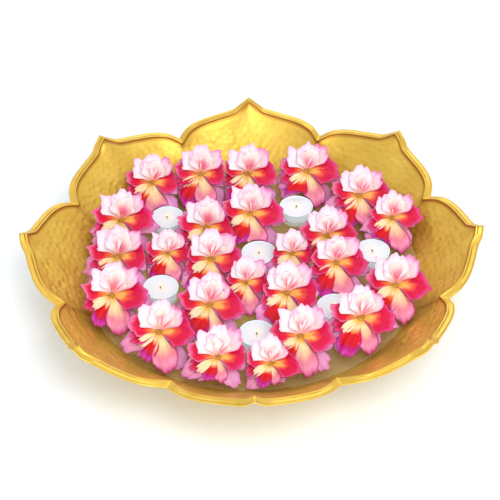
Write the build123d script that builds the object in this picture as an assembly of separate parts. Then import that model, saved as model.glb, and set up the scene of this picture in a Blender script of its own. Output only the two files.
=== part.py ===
from build123d import *
from math import atan2, cos, degrees, radians, sin, tan
import os

# Brass urli: a wide, shallow floating-flower bowl with an eight-petal rim, filled with water that
# carries lotus blooms and tea lights. Millimetres, +Z up. The origin is the centre of the flat
# base, on the surface that the bowl stands on. A petal tip points along +Y and the other seven
# follow every 45 degrees.

# ---- bowl ----
PETALS = 8
HALF_PETAL = 180 / PETALS
SHEET = 2.0  # thickness of the beaten sheet
BASE_RADIUS = 100.0  # flat base
WATERLINE_RADIUS = 186.0  # where the round bowl turns into petals
WATERLINE_HEIGHT = 36.0
BELLY_POWER = 1.57  # how late the wall turns up from the flat base
VALLEY_HEIGHT = 67.0  # rim height between two petals
# Rim outline of half a petal: angle from the tip, radius, and height above the valley.
RIM_OUTLINE = [
    (0.0, 254.0, 27.0),
    (2.0, 252.3, 20.5),
    (4.5, 247.5, 15.0),
    (9.0, 244.0, 12.0),
    (15.0, 240.0, 8.8),
    (19.0, 234.5, 6.0),
    (HALF_PETAL, 225.0, 0.0),
]
BAND_WIDTH = 9.0  # flat strip that follows the rim
BAND_STEP = 2.2  # how far the strip stands above the beaten wall
BAND_THICKNESS = 2.8
BAND_SLOPE = 6.0  # degrees, down towards the bowl
BAND_UNDER_SETBACK = 2.6  # from the strip's inner edge out to where its underside meets the wall
BELLY_STEPS = 6

# ---- closeness used when faces are matched ----
ANGLE_MATCH = 0.01  # degrees
HEIGHT_MATCH = 0.01
RADIUS_MATCH = 0.1
BASE_MATCH = 0.5

# ---- water ----
WALL_GAP = 0.3  # between the water and anything that sits in it
RECESS_RISE = 1.0  # how far a recess is cut past the water's surface

# ---- tea lights ----
CUP_HEIGHT = 18.0
CUP_LIP_RADIUS = 19.5
CUP_FOOT_RADIUS = 17.5
CUP_WALL = 0.7
CUP_FLOOR = 0.9
CUP_DRAFT = 7.0  # how deep a cup floats
WAX_DEPTH = 15.9
WAX_DISH_RADIUS = 15.5
WAX_DISH_FLOOR_RADIUS = 12.5
WAX_DISH_DEPTH = 1.2
PLATE_RADIUS = 6.0
PLATE_THICKNESS = 0.4
COLLAR_RADIUS = 1.6
COLLAR_HEIGHT = 3.0
WICK_RADIUS = 0.8
WICK_HEIGHT = 19.0
TEA_LIGHTS = [(-97, 81), (-100, -39), (53, 97), (8, 16), (136, 16), (88, -74), (4, -113)]

# ---- lotus blooms ----
BLOOM_HALF_WIDTH = 28.5
BLOOM_HALF_DEPTH = 24.5
# Outline at each height: height, width and depth as a share of the full size, and how far the
# section leans back, all for a bloom of scale 1.
BLOOM_SECTIONS = [
    (0.0, 0.45, 0.45, 0.0),
    (7.0, 0.92, 0.92, -1.0),
    (16.0, 1.0, 1.0, 0.0),
    (30.0, 0.92, 0.76, 3.0),
    (42.0, 0.70, 0.46, 9.0),
    (50.0, 0.35, 0.22, 13.0),
]
# Position of each bloom's middle and its scale, from the back of the bowl to the front.
BLOOMS = [
    (67, 139, 0.98), (-59, 137, 0.98), (-3, 136, 0.98), (-116, 122, 0.98), (127, 91, 0.98),
    (-1, 62, 0.98), (-148, 54, 0.98), (160, 53, 0.9), (-51, 38, 0.98), (85, 23, 0.92),
    (-93, 1, 0.8), (45, -2, 0.78), (-148, -9, 0.98), (-45, -16, 0.98), (92, -24, 0.95),
    (-7, -49, 0.8), (154, -63, 0.98), (-150, -72, 0.98), (37, -73, 0.98), (-46, -89, 0.98),
    (113, -113, 0.98), (-97, -129, 0.98), (49, -138, 0.95), (-37, -166, 0.93), (17, -172, 0.82),
]


BASE = (Align.CENTER, Align.CENTER, Align.MIN)
TOP = (Align.CENTER, Align.CENTER, Align.MAX)


def polar(radius, angle, height):
    """A point at an angle from +Y, turning towards +X."""
    return Vector(radius * sin(radians(angle)), radius * cos(radians(angle)), height)


def belly_height(radius):
    """Inner surface height of the round part of the bowl."""
    rise = (radius - BASE_RADIUS) / (WATERLINE_RADIUS - BASE_RADIUS)
    return SHEET + (WATERLINE_HEIGHT - SHEET) * rise**BELLY_POWER


def belly_slope(radius):
    """Angle of the inner surface from level, in degrees."""
    span = WATERLINE_RADIUS - BASE_RADIUS
    rise = (radius - BASE_RADIUS) / span
    return degrees(atan2(BELLY_POWER * (WATERLINE_HEIGHT - SHEET) * rise ** (BELLY_POWER - 1), span))


def belly_points():
    """Inner and outer surface points, as radius and height, from the base to the water line."""
    inner = []
    outer = []
    for step in range(BELLY_STEPS + 1):
        radius = BASE_RADIUS + (WATERLINE_RADIUS - BASE_RADIUS) * step / BELLY_STEPS
        height = belly_height(radius)
        slope = radians(belly_slope(radius))
        inner.append((radius, height))
        outer.append((radius + SHEET * sin(slope), height - SHEET * cos(slope)))
    return inner, outer


def band_width_along_radius(index):
    """Radial width of the rim strip, which is wider where the outline runs across the radius."""
    before = RIM_OUTLINE[max(index - 1, 0)]
    after = RIM_OUTLINE[min(index + 1, len(RIM_OUTLINE) - 1)]
    along = radians(after[0] - before[0]) * RIM_OUTLINE[index][1]
    slant = atan2(before[1] - after[1], along)
    return BAND_WIDTH / cos(slant)


def petal_section(index):
    """Closed wire of the bowl's wall in the upright plane through one point of the rim outline."""
    angle, rim_radius, rise = RIM_OUTLINE[index]
    rim_height = VALLEY_HEIGHT + rise
    width = band_width_along_radius(index)
    band_radius = rim_radius - width
    band_height = rim_height - width * tan(radians(BAND_SLOPE))
    under_radius = band_radius + BAND_UNDER_SETBACK
    inner, outer = belly_points()
    inner_curve = [polar(radius, angle, height) for radius, height in inner]
    outer_curve = [polar(radius, angle, height) for radius, height in outer]
    wall_top = polar(band_radius, angle, band_height - BAND_STEP)
    band_inside = polar(band_radius, angle, band_height)
    band_outside = polar(rim_radius, angle, rim_height)
    edge_bottom = polar(rim_radius, angle, rim_height - BAND_THICKNESS)
    underside = polar(under_radius, angle, band_height - BAND_THICKNESS - BAND_STEP / 2)
    return Wire([
        Edge.make_spline(inner_curve),
        Edge.make_line(inner_curve[-1], wall_top),
        Edge.make_line(wall_top, band_inside),
        Edge.make_line(band_inside, band_outside),
        Edge.make_line(band_outside, edge_bottom),
        Edge.make_line(edge_bottom, underside),
        Edge.make_line(underside, outer_curve[-1]),
        Edge.make_spline(outer_curve[::-1]),
        Edge.make_line(outer_curve[0], inner_curve[0]),
    ])


def lies_on_cut(face):
    """True for the faces of half a petal that meet its neighbours or the base, not the air."""
    middle = face.center()
    angle = degrees(atan2(middle.X, middle.Y))
    across = abs(angle) < ANGLE_MATCH or abs(angle - HALF_PETAL) < ANGLE_MATCH
    at_base = Vector(middle.X, middle.Y, 0).length < BASE_RADIUS + BASE_MATCH
    return across or at_base


def make_bowl():
    """Eight petals, each two mirrored half petals, closed by the flat base."""
    half = Solid.make_loft([petal_section(index) for index in range(len(RIM_OUTLINE))])
    skin = [face for face in half.faces() if not lies_on_cut(face)]
    skin += [face.mirror(Plane.YZ) for face in skin]
    faces = []
    for petal in range(PETALS):
        faces += [face.rotate(Axis.Z, petal * 360 / PETALS) for face in skin]
    edges = [edge for face in faces for edge in face.edges()]
    for height in (SHEET, 0.0):
        ring = [edge for edge in edges if at_base_ring(edge, height)]
        faces.append(Face(Wire(ring)))
    return Solid(Shell(faces))


def at_base_ring(edge, height):
    """True for an edge that runs round the flat base at this height."""
    ends = [edge @ 0, edge @ 0.5, edge @ 1]
    on_circle = all(abs(Vector(end.X, end.Y, 0).length - BASE_RADIUS) < RADIUS_MATCH for end in ends)
    return on_circle and all(abs(end.Z - height) < HEIGHT_MATCH for end in ends)


def cup_outline(gap, height):
    """Solid cone of a tea light cup's outside, grown by a gap, up to a height above its foot."""
    slope = (CUP_LIP_RADIUS - CUP_FOOT_RADIUS) / CUP_HEIGHT
    foot = CUP_FOOT_RADIUS + gap
    body = Solid.make_cone(foot, foot + slope * (height + gap), height + gap)
    return body.translate((0, 0, -gap))


def make_water():
    """Water up to the foot of the petals, with a recess wherever a cup floats."""
    side = []
    for step in range(BELLY_STEPS + 1):
        radius = BASE_RADIUS + (WATERLINE_RADIUS - BASE_RADIUS) * step / BELLY_STEPS
        slope = radians(belly_slope(radius))
        side.append(Vector(radius - WALL_GAP * sin(slope), 0, belly_height(radius) + WALL_GAP * cos(slope)))
    floor = Vector(0, 0, side[0].Z)
    surface = Vector(0, 0, side[-1].Z)
    outline = Wire([
        Edge.make_line(floor, side[0]),
        Edge.make_spline(side),
        Edge.make_line(side[-1], surface),
        Edge.make_line(surface, floor),
    ])
    body = revolve(Face(outline), axis=Axis.Z)
    recess_height = surface.Z - cup_foot_height() + RECESS_RISE
    for x, y in TEA_LIGHTS:
        body -= Pos(x, y, cup_foot_height()) * cup_outline(WALL_GAP, recess_height)
    return body


def cup_foot_height():
    """Height of the underside of a floating cup."""
    return WATERLINE_HEIGHT - CUP_DRAFT


def cup_cavity(height):
    """Solid cone that fills a cup from its floor up to a height above its foot."""
    slope = (CUP_LIP_RADIUS - CUP_FOOT_RADIUS) / CUP_HEIGHT
    low = CUP_FOOT_RADIUS - CUP_WALL + slope * CUP_FLOOR
    high = CUP_FOOT_RADIUS - CUP_WALL + slope * height
    return Pos(0, 0, (height + CUP_FLOOR) / 2) * Cone(low, high, height - CUP_FLOOR)


def make_cup():
    """Clear tea light cup, slightly wider at its lip."""
    return cup_outline(0, CUP_HEIGHT) - cup_cavity(CUP_HEIGHT)


def make_wick_plate():
    """Thin steel disc on the cup's floor with the collar that grips the wick."""
    disc = Cylinder(PLATE_RADIUS, PLATE_THICKNESS, align=BASE)
    collar = Cylinder(COLLAR_RADIUS, COLLAR_HEIGHT, align=BASE)
    bore = Cylinder(WICK_RADIUS, COLLAR_HEIGHT, align=BASE)
    return Pos(0, 0, CUP_FLOOR) * (disc + collar - bore)


def make_wick():
    """Cotton wick, from the cup's floor to above the wax."""
    return Pos(0, 0, CUP_FLOOR) * Cylinder(WICK_RADIUS, WICK_HEIGHT, align=BASE)


def make_wax():
    """Wax that fills the cup round the plate and the wick, with a melted dish in its top."""
    top = CUP_FLOOR + WAX_DEPTH
    dish = Pos(0, 0, top) * Cone(WAX_DISH_FLOOR_RADIUS, WAX_DISH_RADIUS, WAX_DISH_DEPTH, align=TOP)
    plate = Pos(0, 0, CUP_FLOOR) * Cylinder(PLATE_RADIUS, PLATE_THICKNESS, align=BASE)
    collar = Pos(0, 0, CUP_FLOOR) * Cylinder(COLLAR_RADIUS, COLLAR_HEIGHT, align=BASE)
    return cup_cavity(top) - dish - plate - collar - make_wick()


def make_bloom(scale):
    """A lotus bloom's space: wide open low petals, with back petals that lean away and stand up."""
    sections = []
    for height, width, depth, lean in BLOOM_SECTIONS:
        plane = Plane((0, lean * scale, height * scale))
        half_width = BLOOM_HALF_WIDTH * width * scale
        half_depth = BLOOM_HALF_DEPTH * depth * scale
        sections.append(Wire.make_ellipse(half_width, half_depth, plane))
    return Solid.make_loft(sections, ruled=True)


os.makedirs("parts", exist_ok=True)
export_step(make_bowl(), "parts/bowl.step")
export_step(make_water(), "parts/water.step")
tea_light_pieces = {
    "cup": make_cup(),
    "wax": make_wax(),
    "wick_plate": make_wick_plate(),
    "wick": make_wick(),
}
for number, (x, y) in enumerate(TEA_LIGHTS, 1):
    place = Pos(x, y, cup_foot_height())
    for piece, solid in tea_light_pieces.items():
        export_step(place * solid, f"parts/tea_light_{number}_{piece}.step")
for number, (x, y, scale) in enumerate(BLOOMS, 1):
    place = Pos(x, y, WATERLINE_HEIGHT + WALL_GAP)
    export_step(place * make_bloom(scale), f"parts/lotus_{number:02d}.step")
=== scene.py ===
import math

import bmesh
import bpy
import numpy as np
from mathutils import Matrix, Vector


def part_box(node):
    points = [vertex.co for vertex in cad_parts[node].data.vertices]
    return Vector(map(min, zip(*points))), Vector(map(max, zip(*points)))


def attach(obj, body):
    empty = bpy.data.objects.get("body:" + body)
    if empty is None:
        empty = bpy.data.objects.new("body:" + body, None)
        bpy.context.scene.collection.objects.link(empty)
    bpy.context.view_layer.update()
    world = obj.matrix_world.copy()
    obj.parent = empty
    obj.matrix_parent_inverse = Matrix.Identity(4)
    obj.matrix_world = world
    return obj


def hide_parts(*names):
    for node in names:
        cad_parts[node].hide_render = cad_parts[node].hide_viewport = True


# A brass urli with floating blooms and tea lights. Lengths below are millimetres in the CAD model's
# frame, and become metres where a mesh is made.
MM = 0.001
SAME_POINT = 1e-6  # metres
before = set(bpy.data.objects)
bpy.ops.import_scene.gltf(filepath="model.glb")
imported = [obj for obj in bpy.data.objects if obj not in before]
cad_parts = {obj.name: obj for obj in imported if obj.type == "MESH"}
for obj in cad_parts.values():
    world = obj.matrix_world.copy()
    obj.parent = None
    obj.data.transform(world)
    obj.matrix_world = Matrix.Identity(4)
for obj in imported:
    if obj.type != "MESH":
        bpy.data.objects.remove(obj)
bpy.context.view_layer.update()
scene = bpy.context.scene


# ---------------------------------------------------------------- small helpers
def linear(red, green, blue):
    """Display colour, 0 to 255, as the linear colour that shaders use."""
    values = [channel / 255 for channel in (red, green, blue)]
    return tuple(v / 12.92 if v <= 0.04045 else ((v + 0.055) / 1.055) ** 2.4 for v in values) + (1.0,)


def smooth_step(low, high, value):
    t = np.clip((value - low) / (high - low), 0, 1)
    return t * t * (3 - 2 * t)


def add_object(name, vertices, faces, materials, smooth=True):
    """A mesh object from points in millimetres."""
    mesh = bpy.data.meshes.new(name)
    mesh.from_pydata((np.asarray(vertices, float) * MM).tolist(), [], faces)
    for material in materials:
        mesh.materials.append(material)
    mesh.polygons.foreach_set("use_smooth", [smooth] * len(mesh.polygons))
    mesh.update()
    obj = bpy.data.objects.new(name, mesh)
    scene.collection.objects.link(obj)
    return obj


def set_attribute(obj, name, values):
    attribute = obj.data.attributes.new(name, "FLOAT", "POINT")
    attribute.data.foreach_set("value", np.asarray(values, np.float32))


def lathe(profile, segments):
    """Vertices and faces of a closed ring of (radius, height) points turned round +Z."""
    vertices = []
    faces = []
    rows = len(profile)
    for column in range(segments):
        angle = 2 * math.pi * column / segments
        for radius, height in profile:
            vertices.append((radius * math.cos(angle), radius * math.sin(angle), height))
    for column in range(segments):
        near = column * rows
        far = (column + 1) % segments * rows
        for row in range(rows - 1):
            faces.append((near + row, far + row, far + row + 1, near + row + 1))
    return vertices, faces


def merge_doubles(obj):
    work = bmesh.new()
    work.from_mesh(obj.data)
    bmesh.ops.remove_doubles(work, verts=work.verts, dist=SAME_POINT)
    bmesh.ops.recalc_face_normals(work, faces=work.faces)
    work.to_mesh(obj.data)
    work.free()


# ---------------------------------------------------------------- material building
class Nodes:
    """Short names for building a node material."""

    def __init__(self, name):
        self.material = bpy.data.materials.new(name)
        self.material.use_nodes = True
        self.tree = self.material.node_tree
        self.shader = self.tree.nodes["Principled BSDF"]

    def add(self, kind, **settings):
        node = self.tree.nodes.new(kind)
        for key, value in settings.items():
            setattr(node, key, value)
        return node

    def link(self, source, target):
        self.tree.links.new(source, target)

    def feed(self, value, socket):
        """Links another node's output to the socket, or sets the socket to a number or colour."""
        if isinstance(value, bpy.types.NodeSocket):
            self.link(value, socket)
        else:
            socket.default_value = value

    def attribute(self, name):
        return self.add("ShaderNodeAttribute", attribute_name=name).outputs["Fac"]

    def math(self, operation, *values, clamp=False):
        node = self.add("ShaderNodeMath", operation=operation, use_clamp=clamp)
        for value, socket in zip(values, node.inputs):
            self.feed(value, socket)
        return node.outputs[0]

    def ramp(self, source, stops):
        node = self.add("ShaderNodeValToRGB")
        elements = node.color_ramp.elements
        while len(elements) < len(stops):
            elements.new(0.5)
        for element, (position, colour) in zip(elements, stops):
            element.position = position
            element.color = colour
        self.link(source, node.inputs["Fac"])
        return node.outputs["Color"]

    def mix(self, factor, first, second, blend="MIX"):
        node = self.add("ShaderNodeMix", data_type="RGBA", blend_type=blend)
        # Sockets 6, 7 and output 2 are the mix node's colours.
        for value, index in ((factor, 0), (first, 6), (second, 7)):
            self.feed(value, node.inputs[index])
        return node.outputs[2]

    def noise(self, scale, detail, vector):
        node = self.add("ShaderNodeTexNoise")
        node.inputs["Scale"].default_value = scale
        node.inputs["Detail"].default_value = detail
        self.link(vector, node.inputs["Vector"])
        return node.outputs["Fac"]

    def object_position(self):
        return self.add("ShaderNodeTexCoord").outputs["Object"]

    def combine(self, *values):
        node = self.add("ShaderNodeCombineXYZ")
        for value, socket in zip(values, node.inputs):
            self.feed(value, socket)
        return node.outputs[0]

    def scale_range(self, source, low, high):
        node = self.add("ShaderNodeMapRange")
        node.inputs["To Min"].default_value = low
        node.inputs["To Max"].default_value = high
        self.link(source, node.inputs["Value"])
        return node.outputs["Result"]

    def bump(self, height, strength, distance):
        node = self.add("ShaderNodeBump")
        node.inputs["Strength"].default_value = strength
        node.inputs["Distance"].default_value = distance
        self.link(height, node.inputs["Height"])
        self.link(node.outputs["Normal"], self.shader.inputs["Normal"])

    def set(self, **values):
        for key, value in values.items():
            self.shader.inputs[key.replace("_", " ")].default_value = value


# ---------------------------------------------------------------- bowl
# These sizes repeat the CAD model's.
PETALS = 8
HALF_PETAL = 180 / PETALS
SHEET = 2.0
BASE_RADIUS = 100.0
WATERLINE_RADIUS = 186.0
WATERLINE_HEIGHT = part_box("water")[1].z / MM
BELLY_POWER = 1.57
VALLEY_HEIGHT = 67.0
RIM_OUTLINE = [
    (0.0, 254.0, 27.0),
    (2.0, 252.3, 20.5),
    (4.5, 247.5, 15.0),
    (9.0, 244.0, 12.0),
    (15.0, 240.0, 8.8),
    (19.0, 234.5, 6.0),
    (HALF_PETAL, 225.0, 0.0),
]
BAND_WIDTH = 9.0
BAND_STEP = 2.2
BAND_THICKNESS = 2.8
BAND_SLOPE = 6.0

HALF_COLUMNS = 64
FLAT_ROWS = 3
BELLY_ROWS = 10
WALL_ROWS = 48
OUTSIDE_ROWS = 15
OUTER_WALL_SHARE = 0.4  # of the outside rows
WALL_SAG = 1.2
CREASE_FADE = 7.0  # degrees that creases are softened over, down at the water line
STEEPEST_SLANT = 42  # degrees that the strip is widened for, near the tips
# The step up to the strip and the thin bead along it: how far outwards of the strip's inner line,
# rise, groove weight (patina with painted shade, darkening the brass) and strip weight.
BEAD_ROWS = [
    (0.15, -1.2, 1.0, 0),
    (0.1, -0.1, 0.7, 0),
    (0.4, 0.4, 0.1, 1),
    (1.2, 0.62, 0, 1),
    (2.0, 0.5, 0, 1),
    (2.8, 0.32, 0.1, 1),
]
DIMPLE_PITCH = 8.6
DIMPLE_RADIUS = 4.9
DIMPLE_DEPTH = 1.3
DIMPLE_ROW_PITCH = DIMPLE_PITCH * 0.86
DIMPLED_FROM = 140.0  # radius where the beating starts
DIMPLED_LENGTH = 150.0  # up the wall from there
CLIMB_PER_RADIUS = 1.35  # length up the wall for each unit outwards
OUT_OF_WALL = (0.68, -0.74)  # outwards and upwards parts of the direction a blow drives the wall


def slopes_through(x, y):
    """Tangents that keep a curve through the points free of overshoot."""
    steps = np.diff(y) / np.diff(x)
    tangents = np.zeros(len(x))
    tangents[0] = steps[0]
    tangents[-1] = steps[-1]
    for i in range(1, len(x) - 1):
        if steps[i - 1] * steps[i] > 0:
            tangents[i] = 2 * steps[i - 1] * steps[i] / (steps[i - 1] + steps[i])
    return tangents


def curve_through(x, y, at):
    """Smooth curve through points, read at the given places."""
    x = np.asarray(x, float)
    y = np.asarray(y, float)
    tangents = slopes_through(x, y)
    i = np.clip(np.searchsorted(x, at, side="right") - 1, 0, len(x) - 2)
    width = x[i + 1] - x[i]
    t = (at - x[i]) / width
    a = (1 + 2 * t) * (1 - t) ** 2
    b = t * (1 - t) ** 2
    c = t * t * (3 - 2 * t)
    d = t * t * (t - 1)
    return a * y[i] + b * width * tangents[i] + c * y[i + 1] + d * width * tangents[i + 1]


def belly_height(radius):
    rise = np.clip((radius - BASE_RADIUS) / (WATERLINE_RADIUS - BASE_RADIUS), 0, None)
    return SHEET + (WATERLINE_HEIGHT - SHEET) * rise**BELLY_POWER


def belly_slope(radius):
    span = WATERLINE_RADIUS - BASE_RADIUS
    rise = np.clip((radius - BASE_RADIUS) / span, 0, None)
    return np.arctan2(BELLY_POWER * (WATERLINE_HEIGHT - SHEET) * rise ** (BELLY_POWER - 1), span)


def rim_columns():
    """Angle round the bowl of every column, and its rim radius, height and radial strip width."""
    columns = PETALS * 2 * HALF_COLUMNS
    around = np.arange(columns) * (360 / columns)
    from_tip = np.abs((around + HALF_PETAL) % (2 * HALF_PETAL) - HALF_PETAL)
    table = np.array(RIM_OUTLINE)
    radius = curve_through(table[:, 0], table[:, 1], from_tip)
    rise = curve_through(table[:, 0], table[:, 2], from_tip)
    step = 0.2
    ahead = curve_through(table[:, 0], table[:, 1], np.clip(from_tip + step, 0, HALF_PETAL))
    behind = curve_through(table[:, 0], table[:, 1], np.clip(from_tip - step, 0, HALF_PETAL))
    along = np.radians(np.clip(from_tip + step, 0, HALF_PETAL) - np.clip(from_tip - step, 0, HALF_PETAL))
    slant = np.arctan2(np.abs(behind - ahead), along * radius)
    width = BAND_WIDTH / np.cos(np.minimum(slant, math.radians(STEEPEST_SLANT)))
    padded = np.concatenate([width[-2:], width, width[:2]])
    width = np.convolve(padded, np.ones(5) / 5, mode="valid")
    return around, from_tip, radius, VALLEY_HEIGHT + rise, width


def hammer_depth(around, radius, generator):
    """Depth of the hammer's overlapping dimples at each point of the wall, and the shade of their lips."""
    climb = (radius - DIMPLED_FROM) * CLIMB_PER_RADIUS
    depth = np.zeros(radius.shape)
    shadow = np.zeros(radius.shape)
    for row in range(int(DIMPLED_LENGTH / DIMPLE_ROW_PITCH)):
        along = row * DIMPLE_ROW_PITCH
        ring_radius = DIMPLED_FROM + along / CLIMB_PER_RADIUS
        count = int(2 * math.pi * ring_radius / DIMPLE_PITCH / PETALS) * PETALS
        jitter = generator.normal(0, 0.16, (count, 2))
        size = generator.uniform(0.3, 1.15, count)
        near = np.abs(climb - along) < DIMPLE_RADIUS * 1.3
        if not near.any():
            continue
        place = around[near] / 360 * count - 0.5 * (row % 2)
        nearest = np.round(place).astype(int)
        pitch = 2 * math.pi * radius[near] / count
        for index in (nearest - 1, nearest, nearest + 1):
            slot = index % count
            dx = (place - index - jitter[slot, 0]) * pitch
            dy = climb[near] - along - jitter[slot, 1] * DIMPLE_PITCH
            reach = np.hypot(dx, dy) / DIMPLE_RADIUS
            # A tilted blow: the dimple is deepest towards the rim and fades out downhill.
            shape = np.clip(1 - reach**2, 0, None) * (0.65 + 0.35 * np.clip(dy / DIMPLE_RADIUS, -1, 1))
            depth[near] = np.maximum(depth[near], shape * size[slot])
            # Painted shade: the uphill lip of each dimple is coloured darker than its floor.
            lip = np.exp(-(((reach - 0.82) / 0.2) ** 2)) * smooth_step(-0.1, 0.7, dy / DIMPLE_RADIUS)
            shadow[near] = np.maximum(shadow[near], lip * size[slot])
    return depth, shadow


def softened(values, degrees):
    """Values round the bowl, smoothed over an angle, so that creases fade away from the rim."""
    waves = np.arange(len(values) // 2 + 1)
    fade = np.exp(-0.5 * (waves * math.radians(degrees)) ** 2)
    return np.fft.irfft(np.fft.rfft(values) * fade, len(values))


def bowl_rows():
    """Radius, height and dimple, groove (patina with painted shade) and strip weights of every row of the
    skin, inside to outside.
    """
    around, from_tip, rim_radius, rim_height, width = rim_columns()
    count = len(around)
    band_radius = rim_radius - width
    slope = math.tan(math.radians(BAND_SLOPE))
    band_height = rim_height - width * slope
    rows = []

    def add(radius, height, dimple=0.0, groove_shade_and_patina=0.0, strip=0.0):
        row = (radius, height, dimple, groove_shade_and_patina, strip)
        rows.append([np.broadcast_to(np.asarray(value, float), count) for value in row])

    for i in range(1, FLAT_ROWS + 1):
        add(BASE_RADIUS * i / FLAT_ROWS, SHEET)
    for i in range(1, BELLY_ROWS + 1):
        share = (i / BELLY_ROWS) ** 0.8
        radius = BASE_RADIUS + (WATERLINE_RADIUS - BASE_RADIUS) * share
        add(radius, belly_height(radius), float(smooth_step(DIMPLED_FROM, DIMPLED_FROM + 20, radius)))

    wall_top = band_height - BAND_STEP
    for i in range(1, WALL_ROWS + 1):
        t = i / WALL_ROWS
        spread = CREASE_FADE * (1 - t) ** 0.7
        radius = WATERLINE_RADIUS + (softened(band_radius, spread) - WATERLINE_RADIUS) * t
        height = WATERLINE_HEIGHT + (softened(wall_top, spread) - WATERLINE_HEIGHT) * t
        height = height - WALL_SAG * math.sin(math.pi * t)
        from_band = (1 - t) * (band_radius - WATERLINE_RADIUS)
        # Patina and painted shade darken the wall just below the strip's step.
        add(radius, height, smooth_step(2.5, 7.0, from_band), 1 - smooth_step(0.3, 3.0, from_band))

    for outwards, rise, groove_shade_and_patina, strip in BEAD_ROWS:
        add(band_radius + outwards, band_height + rise, 0, groove_shade_and_patina, strip)
    for share in (0.3, 0.45, 0.6, 0.75, 0.88):
        add(band_radius + width * share, band_height + width * share * slope, 0, 0, 1)
    edge = BAND_THICKNESS / 2
    for degrees in (80, 45, 10, -25, -60, -88):
        turn = math.radians(degrees)
        add(rim_radius - edge + edge * math.cos(turn), rim_height - edge + edge * math.sin(turn), 0, 0, 1)

    under_radius = band_radius + SHEET * 1.3
    under_height = band_height - BAND_THICKNESS - BAND_STEP / 2
    # Patina and painted shade darken the underside of the strip and the outer wall beneath it.
    add(rim_radius - width * 0.45, rim_height - BAND_THICKNESS - width * 0.45 * slope, 0, 0.2, 1)
    add(under_radius + 1.5, under_height + 0.7, 0, 0.8, 1)
    corner_radius = WATERLINE_RADIUS + SHEET * math.sin(belly_slope(WATERLINE_RADIUS))
    corner_height = WATERLINE_HEIGHT - SHEET * math.cos(belly_slope(WATERLINE_RADIUS))
    for i in range(OUTSIDE_ROWS + 1):
        t = i / OUTSIDE_ROWS
        if t < OUTER_WALL_SHARE:
            part = t / OUTER_WALL_SHARE
            spread = CREASE_FADE * part**0.7
            radius = corner_radius + (softened(under_radius, spread) - corner_radius) * (1 - part)
            height = corner_height + (softened(under_height, spread) - corner_height) * (1 - part)
            sag = WALL_SAG * math.sin(math.pi * part) * 0.6
            add(radius, height - sag, 0, 1 - smooth_step(0.02, 0.2, part))
        else:
            part = (t - OUTER_WALL_SHARE) / (1 - OUTER_WALL_SHARE)
            inside = WATERLINE_RADIUS + (BASE_RADIUS - WATERLINE_RADIUS) * part
            tilt = float(belly_slope(inside))
            add(inside + SHEET * math.sin(tilt), belly_height(inside) - SHEET * math.cos(tilt))
    for i in range(FLAT_ROWS - 1, 0, -1):
        add(BASE_RADIUS * i / FLAT_ROWS, 0.0)
    return around, from_tip, np.array(rows)


def build_bowl(material):
    around, from_tip, rows = bowl_rows()
    radius, height, dimple, groove_shade_and_patina, strip = (rows[:, k, :] for k in range(5))
    row_count, columns = radius.shape
    angles = np.broadcast_to(around, radius.shape)
    turn = np.radians(angles)
    depth, lip_shadow = hammer_depth(angles.ravel(), radius.ravel(), np.random.default_rng(11))
    # Some patches were struck harder than others, and the back petals less hard.
    patch = 0.72 + 0.28 * np.sin(5 * turn + 0.06 * radius) * np.sin(3 * turn - 0.045 * height + 1)
    patch = patch * (0.77 - 0.23 * np.cos(turn))
    lip_shadow = lip_shadow.reshape(radius.shape) * dimple * patch
    depth = depth.reshape(radius.shape) * dimple * DIMPLE_DEPTH * patch
    radius = radius + depth * OUT_OF_WALL[0]
    height = height + depth * OUT_OF_WALL[1]
    # The strip keeps faint marks of the blows that flattened it.
    height = height + 0.09 * np.sin(turn * 61 + 2 * np.sin(turn * 17)) * strip
    # Patina and painted shade also darken the creases between petals.
    crease = np.exp(-(((HALF_PETAL - from_tip) / 0.9) ** 2))
    on_wall = (dimple > 0) & (radius > WATERLINE_RADIUS - 12)
    groove_shade_and_patina = np.clip(groove_shade_and_patina + 0.5 * crease * on_wall, 0, 1)

    points = np.stack([radius * np.sin(turn), radius * np.cos(turn), height], axis=-1).reshape(-1, 3)
    vertices = points.tolist() + [(0, 0, SHEET), (0, 0, 0)]
    inside_centre = len(points)
    faces = []
    for row in range(row_count - 1):
        low = row * columns
        high = low + columns
        for column in range(columns):
            after = (column + 1) % columns
            faces.append((low + column, high + column, high + after, low + after))
    last = (row_count - 1) * columns
    for column in range(columns):
        after = (column + 1) % columns
        faces.append((inside_centre, column, after))
        faces.append((inside_centre + 1, last + after, last + column))
    bowl = add_object("bowl_skin", vertices, faces, [material])
    for name, values in (("groove_shade_and_patina", groove_shade_and_patina), ("strip", strip), ("hammer_lip_shade", lip_shadow)):
        set_attribute(bowl, name, np.concatenate([values.ravel(), [0, 0]]))
    merge_doubles(bowl)
    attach(bowl, "root")
    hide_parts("bowl")


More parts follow.
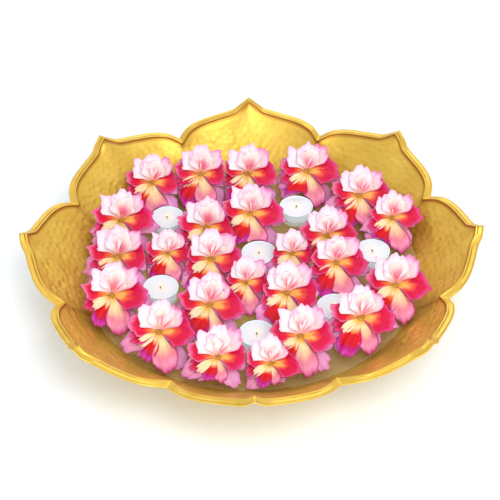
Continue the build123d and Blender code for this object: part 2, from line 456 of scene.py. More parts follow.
def brass_material():
    """Satin gold brass with faint mottling and fine scratches, warmer and darker in its grooves from patina
    and painted shade, and with painted shade on the uphill lips of its dimples.
    """
    n = Nodes("satin_brass")
    place = n.object_position()
    mottle = n.noise(38, 4, place)
    fine = n.noise(1400, 3, place)
    cloud = n.noise(9, 2, place)
    base = n.ramp(mottle, [(0.3, linear(220, 178, 68)), (0.7, linear(234, 200, 90))])
    warm = n.mix(n.scale_range(cloud, 0.0, 0.5), base, linear(220, 174, 70))
    # Painted shade on the uphill lips of the dimples.
    lip = n.math("MULTIPLY", n.attribute("hammer_lip_shade"), 0.58, clamp=True)
    lip_shaded_brass = n.mix(lip, warm, linear(164, 108, 30))
    # Patina and painted shade: grooves, creases and the strip's underside are coloured darker brown.
    groove_shade_and_patina = n.math("MULTIPLY", n.attribute("groove_shade_and_patina"), 0.72, clamp=True)
    n.link(n.mix(groove_shade_and_patina, lip_shaded_brass, linear(166, 96, 26)), n.shader.inputs["Base Color"])
    rough = n.math("ADD", n.scale_range(mottle, 0.36, 0.50), n.math("MULTIPLY", n.attribute("strip"), -0.04))
    n.link(rough, n.shader.inputs["Roughness"])
    n.set(Metallic=0.72)
    grain = n.math("ADD", n.math("MULTIPLY", fine, 0.35), mottle)
    n.bump(grain, 0.25, 0.0006)
    return n.material


# ---------------------------------------------------------------- water
def water_material():
    """Clear water with a faint golden cloud, that lets the beaten brass show through."""
    n = Nodes("still_water")
    place = n.object_position()
    ripples = n.math("ADD", n.noise(42, 2, place), n.math("MULTIPLY", n.noise(150, 1, place), 0.3))
    n.bump(ripples, 0.35, 0.0012)
    n.shader.inputs["Base Color"].default_value = linear(226, 208, 150)
    n.set(Roughness=0.04, IOR=1.33, Alpha=0.2)
    return n.material


def dress_water():
    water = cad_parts["water"]
    water.data.materials.clear()
    water.data.materials.append(water_material())
    water.data.polygons.foreach_set("use_smooth", [False] * len(water.data.polygons))


# ---------------------------------------------------------------- tea lights
CUP_SEGMENTS = 72
CUP_WALL = 0.7
CUP_FLOOR = 0.9
CUP_DRAFT = 2.0  # how much wider the lip's radius is than the foot's
LIP_BEAD = 0.55
FLAME_HEIGHT = 7.5
FLAME_RADIUS = 1.7
BRAID_STEPS = 14


def clear_cup_material():
    """Milky clear plastic, with a faint painted bluish-white glow that lightens its shaded side."""
    n = Nodes("clear_cup_plastic_painted_glow")
    cloudy = n.noise(220, 2, n.object_position())
    n.link(n.mix(cloudy, linear(226, 238, 242), linear(240, 247, 250)), n.shader.inputs["Base Color"])
    n.link(n.scale_range(cloudy, 0.08, 0.2), n.shader.inputs["Roughness"])
    # Painted glow: the emission lightens the cup's shaded side as if the wax lit it from behind.
    n.set(IOR=1.46, Alpha=0.85, Subsurface_Weight=0.3, Subsurface_Scale=0.008, Emission_Strength=0.28)
    n.shader.inputs["Emission Color"].default_value = linear(206, 226, 230)
    return n.material


def wax_material():
    """White paraffin, glossy where it melted, with the flame's warm light painted on round the flame as a
    warmer colour and a faint glow.
    """
    n = Nodes("white_wax")
    near_flame = n.attribute("near_flame")
    # Painted light: the colour turns warmer towards the flame, as the flame's light.
    colour = n.ramp(near_flame, [(0.0, linear(228, 231, 238)), (0.55, linear(234, 231, 231)),
                                 (1.0, linear(244, 226, 200))])
    grain = n.noise(600, 3, n.object_position())
    mottled = n.mix(n.scale_range(grain, 0.0, 0.12), colour, linear(214, 218, 226))
    n.link(mottled, n.shader.inputs["Base Color"])
    n.link(n.scale_range(near_flame, 0.42, 0.16), n.shader.inputs["Roughness"])
    n.set(Subsurface_Weight=0.35, Subsurface_Scale=0.004)
    n.shader.inputs["Subsurface Radius"].default_value = (1.0, 0.8, 0.6)
    # Painted glow: the wax near the flame emits a little warm light.
    n.shader.inputs["Emission Color"].default_value = linear(255, 226, 170)
    n.link(n.math("MULTIPLY", n.math("POWER", near_flame, 3.0), 0.12), n.shader.inputs["Emission Strength"])
    n.bump(grain, 0.12, 0.0003)
    return n.material


def wick_material():
    """Braided cotton, charred above the wax."""
    n = Nodes("braided_wick")
    burnt = n.attribute("burnt")
    fibre = n.noise(3000, 2, n.object_position())
    cotton = n.mix(fibre, linear(225, 215, 190), linear(190, 178, 150))
    n.link(n.mix(burnt, cotton, linear(34, 27, 24)), n.shader.inputs["Base Color"])
    n.set(Roughness=0.9)
    n.bump(fibre, 0.5, 0.0002)
    return n.material


def plate_material():
    """Thin zinc-coated steel of the wick's plate."""
    n = Nodes("wick_plate_steel")
    grain = n.noise(900, 2, n.object_position())
    n.link(n.mix(grain, linear(186, 188, 192), linear(206, 208, 210)), n.shader.inputs["Base Color"])
    n.link(n.scale_range(grain, 0.28, 0.4), n.shader.inputs["Roughness"])
    n.set(Metallic=1.0)
    return n.material


def flame_material():
    """Candle flame, white-yellow with a warmer tip."""
    n = Nodes("candle_flame")
    rise = n.attribute("rise")
    colour = n.ramp(rise, [(0.0, linear(255, 200, 130)), (0.2, linear(255, 238, 184)),
                           (0.55, linear(255, 250, 228)), (1.0, linear(255, 226, 150))])
    n.link(colour, n.shader.inputs["Emission Color"])
    n.link(n.ramp(rise, [(0.0, (0.4, 0.4, 0.4, 1)), (0.3, (1, 1, 1, 1)), (1.0, (0.8, 0.8, 0.8, 1))]),
           n.shader.inputs["Alpha"])
    n.shader.inputs["Base Color"].default_value = linear(120, 90, 40)
    n.set(Emission_Strength=1.0, Roughness=0.6)
    return n.material


def cup_profile(size):
    """Closed outline of the cup's wall: rolled lip, thin drafted side and a foot ring."""
    top, lip, foot = size["height"], size["lip"], size["foot"]
    inner = foot - CUP_WALL
    outline = [(0.001, CUP_FLOOR), (foot - 2.4, CUP_FLOOR)]
    outline += [(inner - 0.5, CUP_FLOOR + 0.25), (inner, CUP_FLOOR + 0.9)]
    for t in (0.3, 0.6, 0.93):
        outline.append((inner + (lip - foot) * t, CUP_FLOOR + (top - CUP_FLOOR) * t))
    for degrees in (160, 110, 60, 10, -40, -80):
        turn = math.radians(degrees)
        bead = (LIP_BEAD * math.cos(turn), LIP_BEAD * math.sin(turn))
        outline.append((lip - LIP_BEAD + bead[0], top - LIP_BEAD + bead[1]))
    outline += [(foot + (lip - foot) * t - 0.15, top * t) for t in (0.9, 0.6, 0.3, 0.06)]
    outline += [(foot - 0.6, 0.12), (foot - 1.4, 0.0), (foot - 2.6, 0.0), (foot - 3.2, 0.35), (0.001, 0.35)]
    return outline


def wax_profile(size):
    """Wax that climbs the cup's wall a little, then dishes towards the wick."""
    lip, foot, top = size["lip"], size["foot"], size["wax_top"]
    side = foot - CUP_WALL + (lip - foot) * top / size["height"]
    profile = [(0.95, 1.3), (6.3, 1.3), (foot - 1.3, 1.0), (foot - 0.8, 1.5), (side - 0.05, top - 0.6)]
    profile += [(side - 0.1, top + 0.05), (side - 0.5, top + 0.1), (side - 1.2, top - 0.25)]
    for t in (0.9, 0.8, 0.68, 0.55, 0.42, 0.3, 0.2, 0.12):
        profile.append((side * t, top - 0.45 - 0.75 * (1 - t**2.2)))
    profile += [(1.3, top - 1.0), (0.95, top - 0.7), (0.95, 1.3)]
    return profile


def build_cup(number, centre, size, material):
    vertices, faces = lathe(cup_profile(size), CUP_SEGMENTS)
    points = np.array(vertices) + centre
    cup = add_object(f"tea_light_{number}_clear_cup", points, faces, [material])
    merge_doubles(cup)
    return cup


def build_wax(number, centre, size, material, generator):
    vertices, faces = lathe(wax_profile(size), CUP_SEGMENTS)
    points = np.array(vertices)
    reach = np.hypot(points[:, 0], points[:, 1])
    on_top = (points[:, 2] > size["wax_top"] - 1.5) & (reach < size["lip"] - 2)
    turn = np.arctan2(points[:, 1], points[:, 0])
    phase = generator.uniform(0, 6.28, 3)
    ripple = np.sin(2 * turn + phase[0]) + 0.6 * np.sin(3 * turn + phase[1])
    ripple = ripple + 0.4 * np.sin(5 * turn + phase[2])
    points[:, 2] += np.where(on_top, 0.09 * ripple * np.clip(reach / 10, 0, 1), 0)
    wax = add_object(f"tea_light_{number}_poured_wax", points + centre, faces, [material])
    near = np.clip(1 - np.hypot(reach, points[:, 2] - size["wax_top"]) / 14, 0, 1)
    set_attribute(wax, "near_flame", near**1.5)
    merge_doubles(wax)
    return wax


def build_wick(number, centre, size, material, generator):
    """A three-strand braid that stands up and bends over at its tip."""
    lean = generator.uniform(0, 2 * math.pi)
    low = CUP_FLOOR
    high = size["wick_top"]
    vertices = []
    faces = []
    burnt = []
    sides = 6
    for strand in range(3):
        first = len(vertices)
        for step in range(BRAID_STEPS + 1):
            t = step / BRAID_STEPS
            turn = 2 * math.pi * (strand / 3 + 2.2 * t)
            bend = 1.1 * max(0.0, (t - 0.72) / 0.28) ** 2
            middle_x = 0.36 * math.cos(turn) + bend * math.cos(lean)
            middle_y = 0.36 * math.sin(turn) + bend * math.sin(lean)
            height = low + (high - low) * t
            girth = 0.42 * (1 - 0.35 * max(0.0, (t - 0.9) / 0.1))
            for side in range(sides):
                around = 2 * math.pi * side / sides
                x = middle_x + girth * math.cos(around)
                vertices.append((x, middle_y + girth * math.sin(around), height))
                burnt.append(float(smooth_step(size["wax_top"] - 0.6, size["wax_top"] + 1.0, height)))
        for step in range(BRAID_STEPS):
            for side in range(sides):
                a = first + step * sides + side
                b = first + step * sides + (side + 1) % sides
                faces.append((a, b, b + sides, a + sides))
        faces.append(tuple(range(first + sides - 1, first - 1, -1)))
        last = first + BRAID_STEPS * sides
        faces.append(tuple(range(last, last + sides)))
    wick = add_object(f"tea_light_{number}_braided_wick", np.array(vertices) + centre, faces, [material])
    set_attribute(wick, "burnt", burnt)
    return wick


def build_flame(number, centre, size, material, generator):
    """A small teardrop of flame round the tip of the wick."""
    steps = 16
    profile = []
    for step in range(steps + 1):
        t = step / steps
        radius = FLAME_RADIUS * math.sin(math.pi * t**0.62) ** 0.9 * (1 - 0.25 * t)
        profile.append((max(radius, 0.002), FLAME_HEIGHT * t))
    vertices, faces = lathe(profile, 20)
    points = np.array(vertices)
    rise = points[:, 2] / FLAME_HEIGHT
    tilt = generator.normal(0, 0.35, 2)
    points[:, 0] += tilt[0] * rise**2
    points[:, 1] += tilt[1] * rise**2
    base = np.array([0, 0, size["wick_top"] - 1.3])
    flame = add_object(f"tea_light_{number}_flame", points + centre + base, faces, [material])
    set_attribute(flame, "rise", rise)
    merge_doubles(flame)
    flame.visible_shadow = False
    return flame


def build_tea_lights():
    materials = {
        "cup": clear_cup_material(),
        "wax": wax_material(),
        "wick": wick_material(),
        "plate": plate_material(),
        "flame": flame_material(),
    }
    numbers = sorted({int(name.split("_")[2]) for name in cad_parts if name.startswith("tea_light_")})
    for number in numbers:
        body = f"tea_light_{number}"
        generator = np.random.default_rng(100 + number)
        low, high = (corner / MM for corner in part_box(f"{body}_cup"))
        centre = np.array([(low.x + high.x) / 2, (low.y + high.y) / 2, low.z])
        lip = (high.x - low.x) / 2
        size = {
            "lip": lip,
            "foot": lip - CUP_DRAFT,
            "height": high.z - low.z,
            "wax_top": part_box(f"{body}_wax")[1].z / MM - low.z,
            "wick_top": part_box(f"{body}_wick")[1].z / MM - low.z,
        }
        made = [
            (build_cup(number, centre, size, materials["cup"]), f"{body}_cup", "clear_cup"),
            (build_wax(number, centre, size, materials["wax"], generator), f"{body}_wax", "white_wax"),
            (build_wick(number, centre, size, materials["wick"], generator), f"{body}_wick", "wick"),
            (build_flame(number, centre, size, materials["flame"], generator), None, "wick"),
        ]
        for piece, node, finish in made:
            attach(piece, body)
            if node:
                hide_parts(node)
        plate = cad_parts[f"{body}_wick_plate"]
        plate.data.materials.clear()
        plate.data.materials.append(materials["plate"])


# ---------------------------------------------------------------- lotus blooms
# Heart of a bloom of scale 1, from the middle of its place on the water.
HEART = np.array([0.0, 5.0, 26.0])
PETAL_ROWS = 16
PETAL_COLUMNS = 16
PETAL_THICKNESS = 0.4
FULL_WIDTH = 57.0  # plan width of a bloom of scale 1
HALF_DEPTH = 24.5
# Each petal: direction round the bloom and elevation in degrees, length and width in millimetres,
# how far it curls down along its length, how far its edges rise, its fold, the height of its
# ruffles, its roll about its own length, how pointed its tip is, and its finish.
BLOOM_PETALS = [
    (187, -17, 44, 33, -14, 0.05, 0.0, 2.0, -8, 0.35, "pale_pink"),
    (-141, -24, 44, 28, -12, 0.00, 0.0, 2.0, -5, 0.35, "pale_pink"),
    (-48, -26, 47, 25, -12, -0.10, 0.0, 1.8, 5, 0.40, "lilac"),
    (2, -12, 42, 33, -14, 0.05, 0.0, 1.8, 8, 0.30, "pale_pink"),
    (48, 2, 35, 30, -8, 0.05, 0.0, 1.8, 0, 0.25, "pale_pink"),
    (132, 2, 35, 30, -8, 0.05, 0.0, 1.8, 0, 0.25, "pale_pink"),
    (72, -22, 34, 26, -14, 0.00, 0.0, 1.8, 0, 0.25, "lilac"),
    (108, -22, 34, 26, -14, 0.00, 0.0, 1.8, 0, 0.25, "pale_pink"),
    (90, 20, 30, 32, 4, 0.15, 0.0, 1.5, 0, 0.20, "pale_pink"),
    (84, 46, 34, 28, -6, 0.25, 0.10, 1.3, 0, 0.35, "white"),
    (136, 40, 35, 30, -10, 0.10, -0.12, 1.4, -20, 0.95, "white"),
    (114, 56, 25, 20, -16, 0.15, -0.20, 1.0, -10, 0.70, "white"),
    (62, 50, 26, 24, -18, 0.20, 0.25, 1.2, 24, 0.55, "blush"),
    (46, 29, 37, 27, -12, 0.12, 0.0, 2.6, 14, 0.45, "pale_tip"),
    (160, 10, 33, 29, -18, 0.12, 0.25, 1.7, -18, 0.50, "red_fold"),
    (-162, -7, 30, 20, -18, 0.15, 0.10, 1.1, -14, 0.20, "crimson"),
    (-9, 6, 37, 41, -24, 0.08, 0.06, 1.7, 12, 0.25, "crimson"),
    (-117, -14, 46, 25, -22, -0.12, 0.0, 1.6, -8, 0.10, "cream_red"),
    (-77, -16, 48, 27, -22, -0.12, 0.0, 1.4, 4, 0.45, "cream_pink"),
    (-143, -4, 24, 11, -24, 0.25, 0.0, 0.5, -14, 0.20, "cream"),
]
PLEAT_HEIGHT = 0.55
NEIGHBOUR_REACH = 150.0
NEIGHBOUR_GAP = 0.35  # each side of the plane half way to a neighbour
NEIGHBOUR_DRAW = 0.5  # share of a petal's overlap with a neighbour that shortens it
SHORTEST_PETAL = 0.6
WATER_CLEARANCE = 0.7
CUP_CLEARANCE = 1.2
WALL_CLEARANCE = 2.5
WALL_LEAN = 0.93  # how far the wall runs outwards for each unit it rises
WALL_CLIMB = 0.48  # how far a petal climbs the wall for each unit it would run into it
SOFTNESS = 3.0  # distance over which a pressed petal comes to its limit
PUSH_LIFT = 0.35  # how far a petal rises for each unit it is pushed back
STAMENS = 11
# Radius and height up the green base, from the water to the heart on top of it.
CALYX_OUTLINE = [(0.001, 0.9), (4.6, 0.9), (5.6, 2.0), (5.0, 6.0), (3.6, 12.0), (3.2, 20.0), (3.4, 25.0),
                 (3.0, 26.8), (1.8, 27.7), (0.001, 28.1)]
PETAL_YELLOW = linear(236, 178, 50)
PETAL_CREAM = linear(246, 222, 166)
PETAL_CRIMSON = linear(207, 0, 60)
PETAL_PINK = linear(246, 162, 202)
PETAL_PALE = linear(248, 200, 222)
PETAL_LILAC = linear(234, 166, 216)
PETAL_WHITE = linear(238, 228, 231)
# Each petal finish: its colours from claw to tip, the colour of its edge, how much sooner the
# colours come at its sides, how strong the edge is and how strong the veins are.
PETAL_FINISHES = {
    "white": (
        [(0.05, linear(236, 150, 110)), (0.20, linear(238, 186, 176)), (0.45, PETAL_WHITE),
         (0.8, linear(240, 226, 233)), (1.0, linear(238, 204, 222))],
        linear(240, 180, 214), 0.1, 0.4, 0.10),
    "blush": (
        [(0.05, linear(238, 150, 96)), (0.30, linear(224, 92, 120)), (0.50, linear(234, 158, 172)),
         (0.74, linear(240, 218, 208)), (1.0, PETAL_WHITE)],
        linear(248, 232, 224), 0.15, 0.7, 0.16),
    "pale_tip": (
        [(0.1, linear(238, 160, 120)), (0.3, linear(238, 196, 180)), (0.6, linear(236, 206, 208)),
         (0.85, PETAL_PALE), (1.0, PETAL_PINK)],
        linear(206, 80, 160), 0.1, 0.55, 0.12),
    "crimson": (
        [(0.06, PETAL_YELLOW), (0.30, linear(246, 178, 94)), (0.45, linear(232, 84, 60)),
         (0.60, PETAL_CRIMSON), (0.85, linear(204, 0, 66)), (1.0, linear(204, 30, 104))],
        linear(232, 100, 160), 0.36, 0.45, 0.14),
    "red_fold": (
        [(0.05, PETAL_YELLOW), (0.28, linear(240, 124, 50)), (0.46, linear(226, 20, 56)),
         (0.75, linear(212, 0, 66)), (1.0, linear(222, 80, 140))],
        linear(240, 160, 196), 0.1, 0.45, 0.14),
    "cream_red": (
        [(0.06, PETAL_YELLOW), (0.26, PETAL_CREAM), (0.37, linear(242, 130, 70)), (0.44, linear(214, 0, 18)),
         (0.72, linear(200, 0, 34)), (0.84, linear(178, 14, 128)), (1.0, linear(214, 70, 180))],
        linear(190, 40, 150), 0.06, 0.6, 0.08),
    "cream_pink": (
        [(0.06, PETAL_YELLOW), (0.26, PETAL_CREAM), (0.46, linear(242, 190, 156)),
         (0.66, linear(232, 130, 150)), (0.95, PETAL_PINK)],
        linear(186, 16, 110), 0.14, 0.9, 0.12),
    "pale_pink": (
        [(0.1, linear(238, 196, 180)), (0.45, PETAL_PALE), (0.8, PETAL_PINK), (1.0, PETAL_LILAC)],
        linear(196, 76, 166), 0.12, 0.45, 0.16),
    "lilac": (
        [(0.1, PETAL_PALE), (0.5, linear(236, 172, 216)), (0.85, PETAL_LILAC)],
        linear(196, 84, 178), 0.1, 0.4, 0.2),
    "cream": (
        [(0.1, PETAL_YELLOW), (0.4, PETAL_CREAM), (0.95, linear(244, 220, 186))],
        linear(240, 170, 150), 0.05, 0.4, 0.08),
}
FINISHES = list(PETAL_FINISHES) + ["stamen", "calyx"]


def petal_material(name, stops, edge, streak, edge_share, vein):
    """Soft petal: colour runs from its claw to its tip, with fine veins and a tinted edge."""
    n = Nodes(name)
    along = n.attribute("along")
    across = n.attribute("across")
    outward = n.math("ABSOLUTE", across)
    seed = n.attribute("petal_seed")
    blotch_place = n.combine(n.math("MULTIPLY", across, 1.6), n.math("MULTIPLY", along, 2.0), seed)
    blotch = n.noise(1.6, 2, blotch_place)
    shifted = n.math("ADD", along, n.math("MULTIPLY", n.math("SUBTRACT", blotch, 0.5), 0.36))
    shifted = n.math("ADD", shifted, n.math("MULTIPLY", n.math("POWER", outward, 1.6), streak))
    colour = n.ramp(shifted, stops)
    vein_place = n.combine(n.math("MULTIPLY", across, 11.0), n.math("MULTIPLY", along, 1.3), seed)
    veins = n.scale_range(n.noise(1.0, 3, vein_place), -0.9, 1.9)
    shade = n.math("MULTIPLY", n.math("SUBTRACT", 1.0, veins), vein * 1.6, clamp=True)
    deep = n.mix(0.9, colour, linear(224, 96, 140), "MULTIPLY")
    veined = n.mix(shade, colour, deep)
    rim = n.math("MAXIMUM", outward, along)
    rim_mask = n.ramp(rim, [(0.80, (0, 0, 0, 1)), (0.985, (edge_share,) * 3 + (1,))])
    n.link(n.mix(rim_mask, veined, edge), n.shader.inputs["Base Color"])
    n.set(Roughness=0.5, Subsurface_Weight=0.12, Subsurface_Scale=0.0015, Specular_IOR_Level=0.25)
    n.shader.inputs["Subsurface Radius"].default_value = (1.0, 0.45, 0.4)
    n.bump(veins, 0.35, 0.0005)
    return n.material


def stamen_material():
    """Yellow filaments with browner, dusty ends."""
    n = Nodes("stamens")
    dust = n.noise(2500, 2, n.object_position())
    body = n.mix(dust, linear(255, 218, 112), linear(248, 188, 76))
    n.link(n.mix(n.attribute("along"), body, linear(240, 186, 84)), n.shader.inputs["Base Color"])
    n.set(Roughness=0.7, Subsurface_Weight=0.2, Subsurface_Scale=0.001)
    n.bump(dust, 0.4, 0.0002)
    return n.material


def calyx_material():
    """Green base that carries the petals, with a dusty yellow heart on top."""
    n = Nodes("calyx_green")
    streaks = n.noise(320, 3, n.object_position())
    stalk = n.mix(streaks, linear(132, 160, 78), linear(196, 150, 120))
    heart = n.mix(streaks, linear(255, 212, 104), linear(250, 180, 76))
    n.link(n.mix(n.attribute("along"), stalk, heart), n.shader.inputs["Base Color"])
    n.set(Roughness=0.6)
    n.bump(streaks, 0.4, 0.0006)
    return n.material


def bloom_materials():
    petals = [petal_material(f"petal_{name}", *finish) for name, finish in PETAL_FINISHES.items()]
    return petals + [stamen_material(), calyx_material()]


def petal_surface(spec, scale, generator):
    """Grid of points of one petal, each with its place along and across."""
    azimuth, elevation, length, width, curl, cup, fold, ruffle, roll, point = spec
    azimuth = math.radians(azimuth + generator.normal(0, 2.5))
    elevation = elevation + generator.normal(0, 2.0)
    length = length * scale * generator.uniform(0.96, 1.04)
    half_width = width * scale / 2 * generator.uniform(0.96, 1.04)
    phase = generator.uniform(0, 2 * math.pi, 2)
    roll = math.radians(roll)
    u = np.linspace(0, 1, PETAL_ROWS + 1)
    v = np.linspace(-1, 1, PETAL_COLUMNS + 1)
    tilt = np.radians(elevation + curl * u**1.4)
    level = np.cos(tilt)
    tangent = np.stack([level * math.cos(azimuth), level * math.sin(azimuth), np.sin(tilt)], axis=1)
    side = np.array([-math.sin(azimuth), math.cos(azimuth), 0.0])
    start = HEART * scale + tangent[0] * 2.0 * scale
    middle = (tangent[1:] + tangent[:-1]) / 2 * (length / PETAL_ROWS)
    line = start + np.concatenate([np.zeros((1, 3)), np.cumsum(middle, axis=0)])
    up = np.cross(tangent, side)
    across = side * math.cos(roll) + up * math.sin(roll)
    up = up * math.cos(roll) - side * math.sin(roll)
    breadth = half_width * (0.18 + 0.82 * smooth_step(0.0, 0.66, u))
    uu, vv = np.meshgrid(u, v, indexing="ij")
    bb = breadth[:, None] * np.ones_like(vv)
    wave = np.sin(math.pi * (1.6 * vv + 1.5 * uu) + phase[0])
    wave = wave + 0.45 * np.sin(math.pi * (3.1 * vv - 2.0 * uu) + phase[1])
    lift = bb * (cup * vv**2 + fold * (1 - np.abs(vv)) * uu)
    lift = lift + ruffle * scale * uu**1.7 * (0.25 + 0.75 * np.abs(vv)) * wave
    lift = lift + PLEAT_HEIGHT * scale * np.sin(math.pi * 3 * vv + phase[1]) * np.sin(math.pi * uu * 0.8)
    scallop = 1.4 * np.sin(math.pi * 2.3 * vv + phase[1]) + 1.1 * np.sin(math.pi * 4.4 * vv + phase[0])
    round_tip = 1 - np.sqrt(1 - 0.97 * vv**2)
    drop = half_width * ((1 - point) * round_tip + point * 1.25 * np.abs(vv) ** 1.2)
    back = np.minimum(drop, 0.5 * length) * -(uu**2) + scallop * scale * uu**4
    points = line[:, None, :] + across[:, None, :] * (bb * vv)[..., None] + up[:, None, :] * lift[..., None]
    points = points + tangent[:, None, :] * back[..., None]
    return points.reshape(-1, 3), uu.ravel(), vv.ravel()


def grid_faces(rows, columns):
    faces = []
    for row in range(rows):
        for column in range(columns):
            a = row * (columns + 1) + column
            faces.append((a, a + columns + 1, a + columns + 2, a + 1))
    return faces


def stamen_tube(scale, generator):
    """One bent filament with a swollen end."""
    azimuth = math.radians(generator.uniform(-175, -5))
    tilt = math.radians(generator.uniform(28, 62))
    length = generator.uniform(4.0, 7.0) * scale
    level = math.cos(tilt)
    direction = np.array([level * math.cos(azimuth), level * math.sin(azimuth), math.sin(tilt)])
    steps = np.array([0, 0.25, 0.5, 0.75, 0.84, 0.93, 1.0])
    girth = np.array([0.45, 0.38, 0.34, 0.34, 0.85, 0.8, 0.15]) * scale
    droop = np.array([0, 0, -1.5])
    sides = 6
    flat = np.cross(direction, [0, 0, 1.0])
    flat = flat / np.linalg.norm(flat)
    upright = np.cross(flat, direction)
    points = []
    along = []
    for step, radius in zip(steps, girth):
        centre = HEART * scale + direction * (1.0 + length * step) + droop * step**2
        for k in range(sides):
            turn = 2 * math.pi * k / sides
            points.append(centre + radius * (flat * math.cos(turn) + upright * math.sin(turn)))
            along.append(float(step > 0.8))
    faces = []
    for ring in range(len(steps) - 1):
        for k in range(sides):
            a = ring * sides + k
            b = ring * sides + (k + 1) % sides
            faces.append((a, b, b + sides, a + sides))
    faces.append(tuple(range(sides - 1, -1, -1)))
    faces.append(tuple(range((len(steps) - 1) * sides, len(steps) * sides)))
    return np.array(points), faces, along


def shortened(points, heart, place, neighbours):
    """A petal drawn in towards the heart, so that it ends before the bowl's wall and near its neighbours."""
    tip = points[-1 - PETAL_COLUMNS // 2]
    over = np.hypot(*(tip + place)[:2]) - (WATERLINE_RADIUS - WALL_CLEARANCE + WALL_LEAN * tip[2])
    share = 1 - over / np.hypot(*(tip - heart)[:2])
    for direction, limit in neighbours:
        run = (tip - heart)[:2] @ direction
        over = tip[:2] @ direction - limit
        if over > 0 and run > 0:
            share = min(share, 1 - NEIGHBOUR_DRAW * over / run)
    return heart + (points - heart) * np.clip(share, SHORTEST_PETAL, 1)


def keep_clear(points, place, neighbours, cups):
    """Presses petals up off the water, back from the blooms and cups beside them, and off the bowl."""
    floor = place[2] + WATER_CLEARANCE
    height = points[:, 2]
    pressed = floor + SOFTNESS * np.exp((height - floor - SOFTNESS) / SOFTNESS)
    points[:, 2] = np.where(height < floor + SOFTNESS, pressed, height)
    for direction, limit in neighbours:
        reach = (points[:, :2] - place[:2]) @ direction
        over = np.clip(reach - (limit - SOFTNESS), 0, None)
        pulled = limit - SOFTNESS * np.exp(-over / SOFTNESS)
        back = np.where(over > 0, reach - pulled, 0)
        points[:, :2] -= back[:, None] * direction
        points[:, 2] += PUSH_LIFT * back
    for x, y, radius in cups:
        dx = points[:, 0] - x
        dy = points[:, 1] - y
        distance = np.maximum(np.hypot(dx, dy), 1e-6)
        push = np.clip(radius + CUP_CLEARANCE - distance, 0, None)
        points[:, 0] += dx / distance * push
        points[:, 1] += dy / distance * push
        points[:, 2] += PUSH_LIFT * push
    # Petals that meet the wall bend up along it.
    reach = np.maximum(np.hypot(points[:, 0], points[:, 1]), 1e-6)
    wall = WATERLINE_RADIUS - WALL_CLEARANCE + WALL_LEAN * (points[:, 2] - place[2])
    over = np.clip(reach - wall, 0, None)
    points[:, :2] *= (1 - (1 - WALL_LEAN * WALL_CLIMB) * over / reach)[:, None]
    points[:, 2] += WALL_CLIMB * over
    return points


def borders(number, middles, scales):
    """Upright planes half way to each bloom close by: a direction and how far petals may reach."""
    planes = []
    for other in range(len(middles)):
        away = middles[other] - middles[number]
        distance = np.linalg.norm(away)
        if 0 < distance < NEIGHBOUR_REACH:
            share = scales[number] / (scales[number] + scales[other])
            planes.append((away / distance, distance * share - NEIGHBOUR_GAP))
    return planes


class BloomMesh:
    """Gathers the pieces of one bloom, with the values that their materials read at each point."""

    def __init__(self):
        self.points = []
        self.faces = []
        self.finish = []
        self.values = {"along": [], "across": [], "petal_seed": []}
        self.count = 0

    def gather(self, points, faces, finish, along, across=0.0, seed=0.0):
        self.points.append(points)
        self.faces += [tuple(corner + self.count for corner in face) for face in faces]
        self.finish += [FINISHES.index(finish)] * len(faces)
        for name, value in zip(self.values, (along, across, seed)):
            self.values[name].append(np.broadcast_to(value, len(points)))
        self.count += len(points)

    def make(self, name, materials):
        bloom = add_object(name, np.concatenate(self.points), self.faces, materials)
        bloom.data.polygons.foreach_set("material_index", self.finish)
        for attribute, parts in self.values.items():
            set_attribute(bloom, attribute, np.concatenate(parts))
        return bloom


def build_bloom(name, place, scale, materials, neighbours, cups, generator):
    mesh = BloomMesh()
    for number, (*spec, finish) in enumerate(BLOOM_PETALS):
        points, along, across = petal_surface(spec, scale, generator)
        points = shortened(points, HEART * scale, place, neighbours)
        points = keep_clear(points + place, place, neighbours, cups)
        seed = number * 3.7 + generator.uniform(0, 3)
        mesh.gather(points, grid_faces(PETAL_ROWS, PETAL_COLUMNS), finish, along, across, seed)
    petals_end = mesh.count
    for _ in range(STAMENS):
        points, faces, dust = stamen_tube(scale, generator)
        mesh.gather(points + place, faces, "stamen", dust)
    points, faces = lathe([(radius * scale, height * scale) for radius, height in CALYX_OUTLINE], 20)
    points = np.array(points) + np.array([0, HEART[1] * scale, 0])
    mesh.gather(points + place, faces, "calyx", smooth_step(22 * scale, 25 * scale, points[:, 2]))

    bloom = mesh.make(name, materials)
    group = bloom.vertex_groups.new(name="petals")
    group.add(list(range(petals_end)), 1.0, "REPLACE")
    thickness = bloom.modifiers.new("petal_thickness", "SOLIDIFY")
    thickness.thickness = PETAL_THICKNESS * MM
    thickness.offset = 0
    thickness.vertex_group = "petals"
    thickness.thickness_vertex_group = 0.0
    return bloom


def build_blooms():
    materials = bloom_materials()
    cups = []
    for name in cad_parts:
        if name.endswith("_cup"):
            low, high = (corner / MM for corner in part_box(name))
            cups.append(((low.x + high.x) / 2, (low.y + high.y) / 2, (high.x - low.x) / 2))
    nodes = sorted(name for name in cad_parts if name.startswith("lotus_"))
    boxes = [[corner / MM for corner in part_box(node)] for node in nodes]
    scales = [(high.x - low.x) / FULL_WIDTH for low, high in boxes]
    # The lowest sections are not leant back, so the middle is half the full depth behind the front.
    places = [np.array([(low.x + high.x) / 2, low.y + HALF_DEPTH * scale, low.z])
              for (low, high), scale in zip(boxes, scales)]
    middles = [place[:2] for place in places]
    for number, node in enumerate(nodes):
        generator = np.random.default_rng(500 + number)
        bloom = build_bloom(f"{node}_bloom", places[number], scales[number], materials,
                            borders(number, middles, scales), cups, generator)
        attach(bloom, f"{node}_body")
        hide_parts(node)


# ---------------------------------------------------------------- stage, light and camera
FLOOR_REACH = 4000.0
WORLD_STRENGTH = 0.84
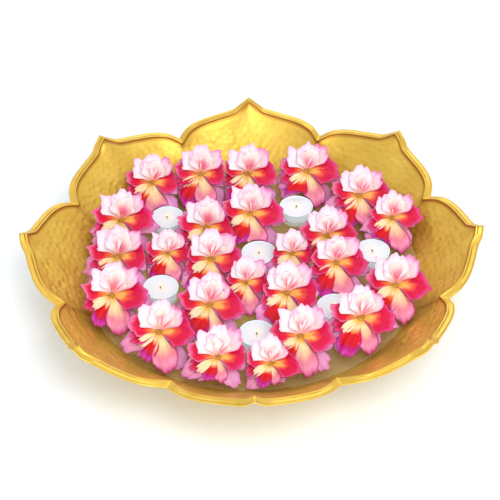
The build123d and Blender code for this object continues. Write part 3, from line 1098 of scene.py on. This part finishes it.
# Name, place and target in metres, diameter and power.
SOFT_LIGHTS = [
    ("key", (0.5, -1.1, 1.7), (0, 0, 0.05), 1.0, 16),
    ("back", (0.3, 1.5, 1.3), (0, -0.1, 0.05), 1.2, 6),
    ("front", (0.0, -1.9, 0.9), (0, -0.2, 0.0), 1.4, 14),
]
CAMERA_PLACE = Vector((-1.8, -1118.8, 969.4 + VALLEY_HEIGHT))
CAMERA_TARGET = Vector((-1.8, 0.0, -2.9 + VALLEY_HEIGHT))
CAMERA_ROLL = -0.95  # degrees
CAMERA_LENS = 96.5


def build_stage():
    n = Nodes("pale_floor")
    n.shader.inputs["Base Color"].default_value = linear(243, 250, 255)
    n.shader.inputs["Emission Color"].default_value = linear(0, 120, 255)
    n.set(Roughness=0.9, Emission_Strength=0.03)
    corners = [(FLOOR_REACH * x, FLOOR_REACH * y, 0) for x, y in ((-1, -1), (1, -1), (1, 1), (-1, 1))]
    add_object("floor", corners, [(0, 1, 2, 3)], [n.material], smooth=False)


def build_lights():
    world = bpy.data.worlds.new("soft_studio")
    scene.world = world
    world.use_nodes = True
    background = world.node_tree.nodes["Background"]
    background.inputs["Color"].default_value = (1.0, 1.0, 1.0, 1.0)
    background.inputs["Strength"].default_value = WORLD_STRENGTH
    for name, place, target, size, power in SOFT_LIGHTS:
        light = bpy.data.lights.new(name, "AREA")
        light.shape = "DISK"
        light.size = size
        light.energy = power
        obj = bpy.data.objects.new(name, light)
        scene.collection.objects.link(obj)
        obj.location = place
        obj.rotation_euler = (Vector(target) - Vector(place)).to_track_quat("-Z", "Y").to_euler()


def build_camera():
    camera = bpy.data.cameras.new("camera")
    obj = bpy.data.objects.new("camera", camera)
    scene.collection.objects.link(obj)
    look = (CAMERA_TARGET - CAMERA_PLACE).to_track_quat("-Z", "Y").to_matrix()
    roll = Matrix.Rotation(math.radians(CAMERA_ROLL), 3, "Z")
    obj.matrix_world = Matrix.Translation(CAMERA_PLACE * MM) @ (look @ roll).to_4x4()
    camera.lens = CAMERA_LENS
    camera.sensor_width = 36
    camera.clip_start = 0.05
    camera.clip_end = 20
    scene.camera = obj


scene.view_settings.view_transform = "Standard"
build_bowl(brass_material())
dress_water()
build_tea_lights()
build_blooms()
build_stage()
build_lights()
build_camera()
